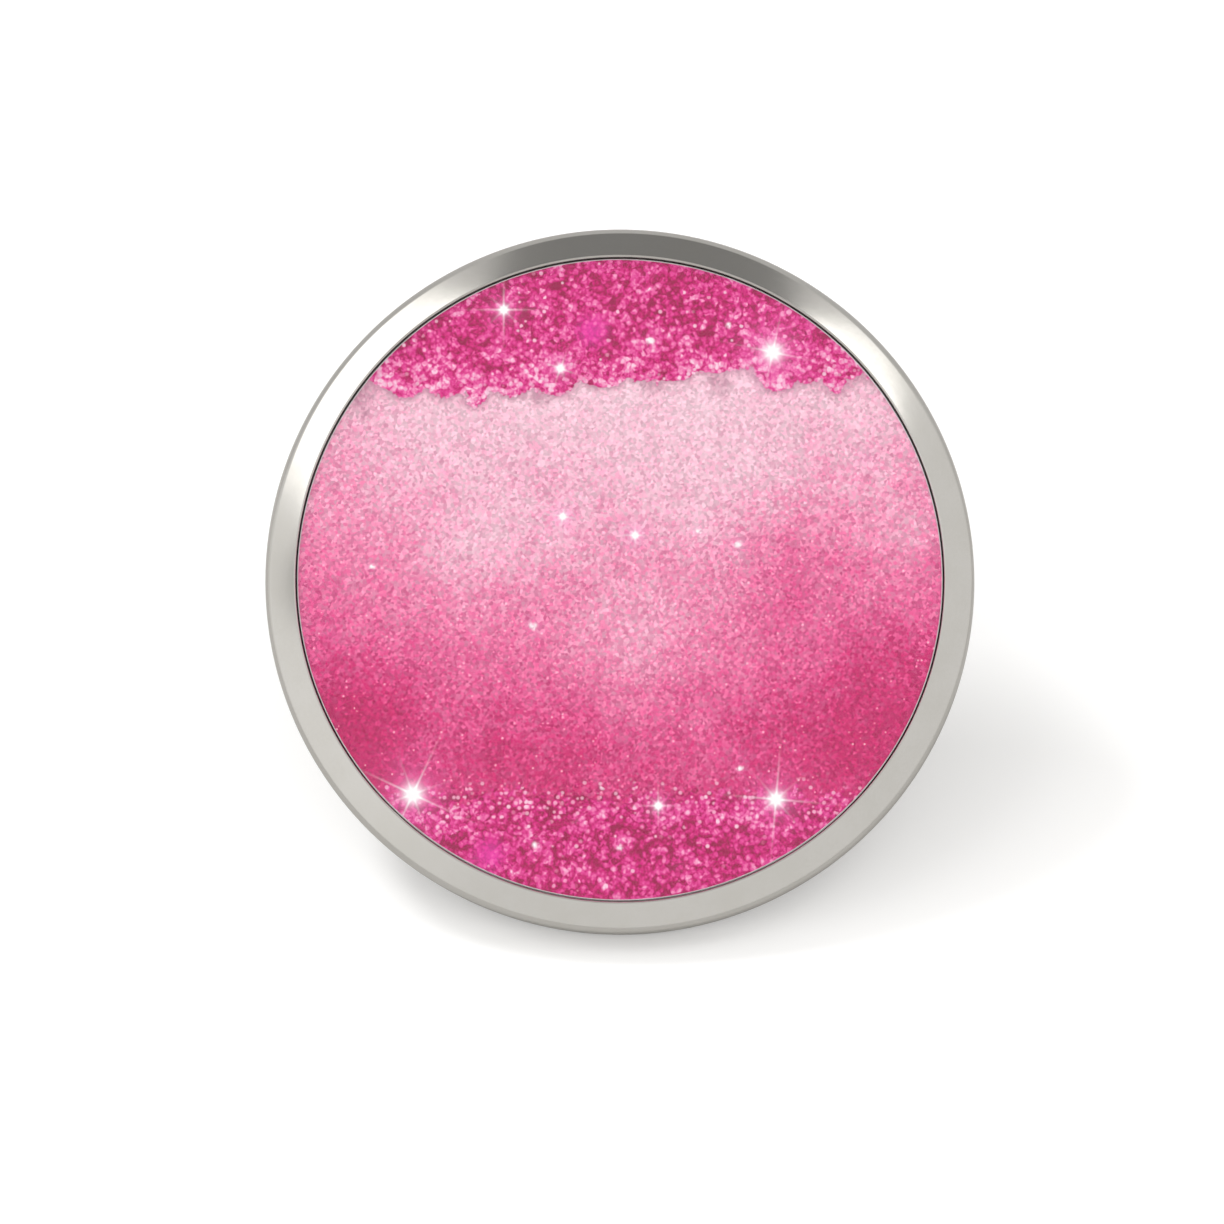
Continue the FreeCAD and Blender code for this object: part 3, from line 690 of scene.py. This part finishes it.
# the table is bright to the eye but dull in the metal, as a softly lit room is beyond its edges
mirrored = floor_graph.node("LightPath").outputs["Is Glossy Ray"]
dull = floor_graph.node("BsdfDiffuse", {"Color": grey(0.62)})
table_top = floor_graph.node("MixShader", {0: mirrored, 1: floor_shader.outputs[0], 2: dull.outputs[0]})
# from below, the table doesn't hide the pin
underside = floor_graph.node("NewGeometry").outputs["Backfacing"]
no_table = floor_graph.node("BsdfTransparent", {"Color": (1, 1, 1, 1)})
one_sided = floor_graph.node("MixShader", {0: underside, 1: table_top.outputs[0], 2: no_table.outputs[0]})
floor_graph.feed(floor_finish.node_tree.nodes["Material Output"].inputs["Surface"], one_sided.outputs[0])
floor_mesh.materials.append(floor_finish)

scene = bpy.context.scene
world = bpy.data.worlds.new("studio")
world.use_nodes = True
scene.world = world
sky = Graph(world.node_tree)
toward = sky.node("TexCoord").outputs["Generated"]


def patch(direction, inner, outer):
    """1 within inner degrees of a direction of the room, 0 beyond outer degrees."""
    near = sky.vector("DOT_PRODUCT", toward, tuple(Vector(direction).normalized()))
    return sky.step(near, math.cos(math.radians(outer)), math.cos(math.radians(inner)))


toward_back = sky.step(sky.node("SeparateXYZ", {0: toward}).outputs[1], 0.0, 0.5)
room = sky.mix(toward_back, grey(0.96), grey(0.7))
room = sky.mix(patch((-0.68, -0.55, 0.5), 12, 38), room, grey(1.12))
room = sky.mix(patch((-0.71, -0.35, 0.61), 3, 7), room, grey(0.62))
room = sky.mix(patch((0.06, 0.24, 0.97), 17, 22), room, grey(0.3))
room = sky.mix(patch((-0.54, 0.0, 0.84), 14, 19), room, grey(2.3))
room = sky.mix(patch((0.505, 0.045, 0.862), 7.5, 9.5), room, grey(2.4))
seen = sky.node("LightPath").outputs["Is Camera Ray"]
room = sky.mix(seen, room, (1.0, 1.0, 1.0, 1))
background = world.node_tree.nodes["Background"]
sky.feed(background.inputs["Color"], room)


def panel(name, direction, distance, size, power):
    """A soft light that points at the pin; it throws light and shadow but isn't mirrored."""
    lamp = bpy.data.lights.new(name, "AREA")
    lamp.shape = "DISK"
    lamp.size = size
    lamp.energy = power
    holder = bpy.data.objects.new(name, lamp)
    bpy.context.scene.collection.objects.link(holder)
    way = Vector(direction).normalized()
    holder.location = way * distance
    holder.rotation_euler = (-way).to_track_quat("-Z", "Y").to_euler()
    holder.visible_glossy = False
    holder.visible_camera = False
    return holder


panel("key", (-0.68, 0.5, 0.95), 0.5, 0.13, 0.84)
panel("fill", (0.4, 0.1, 0.95), 0.5, 0.2, 0.1)

VIEW_ELEVATION = 46.35
FIELD = 48.24  # millimetres across the picture, at the badge
AIM_LEFT = 0.31  # how far the camera aims past the badge's middle, in millimetres
AIM_DOWN = 1.35
LENS = 110.0
SENSOR = 36.0
tilt = math.radians(VIEW_ELEVATION)
toward_camera = Vector((0, -math.cos(tilt), math.sin(tilt)))
camera_up = Vector((0, math.sin(tilt), math.cos(tilt)))
aim = back_centre + out * RIM_EDGE * MM - right * AIM_LEFT * MM - camera_up * AIM_DOWN * MM
camera_data = bpy.data.cameras.new("camera")
camera_data.lens = LENS
camera_data.sensor_width = SENSOR
camera_data.clip_start = 0.005
camera_data.clip_end = 10
camera = bpy.data.objects.new("camera", camera_data)
scene.collection.objects.link(camera)
camera.location = aim + toward_camera * (FIELD * MM * LENS / SENSOR)
camera.rotation_euler = (-toward_camera).to_track_quat("-Z", "Y").to_euler()
scene.camera = camera

scene.view_settings.view_transform = "Standard"
scene.view_settings.look = "None"
scene.view_settings.exposure = 0.0
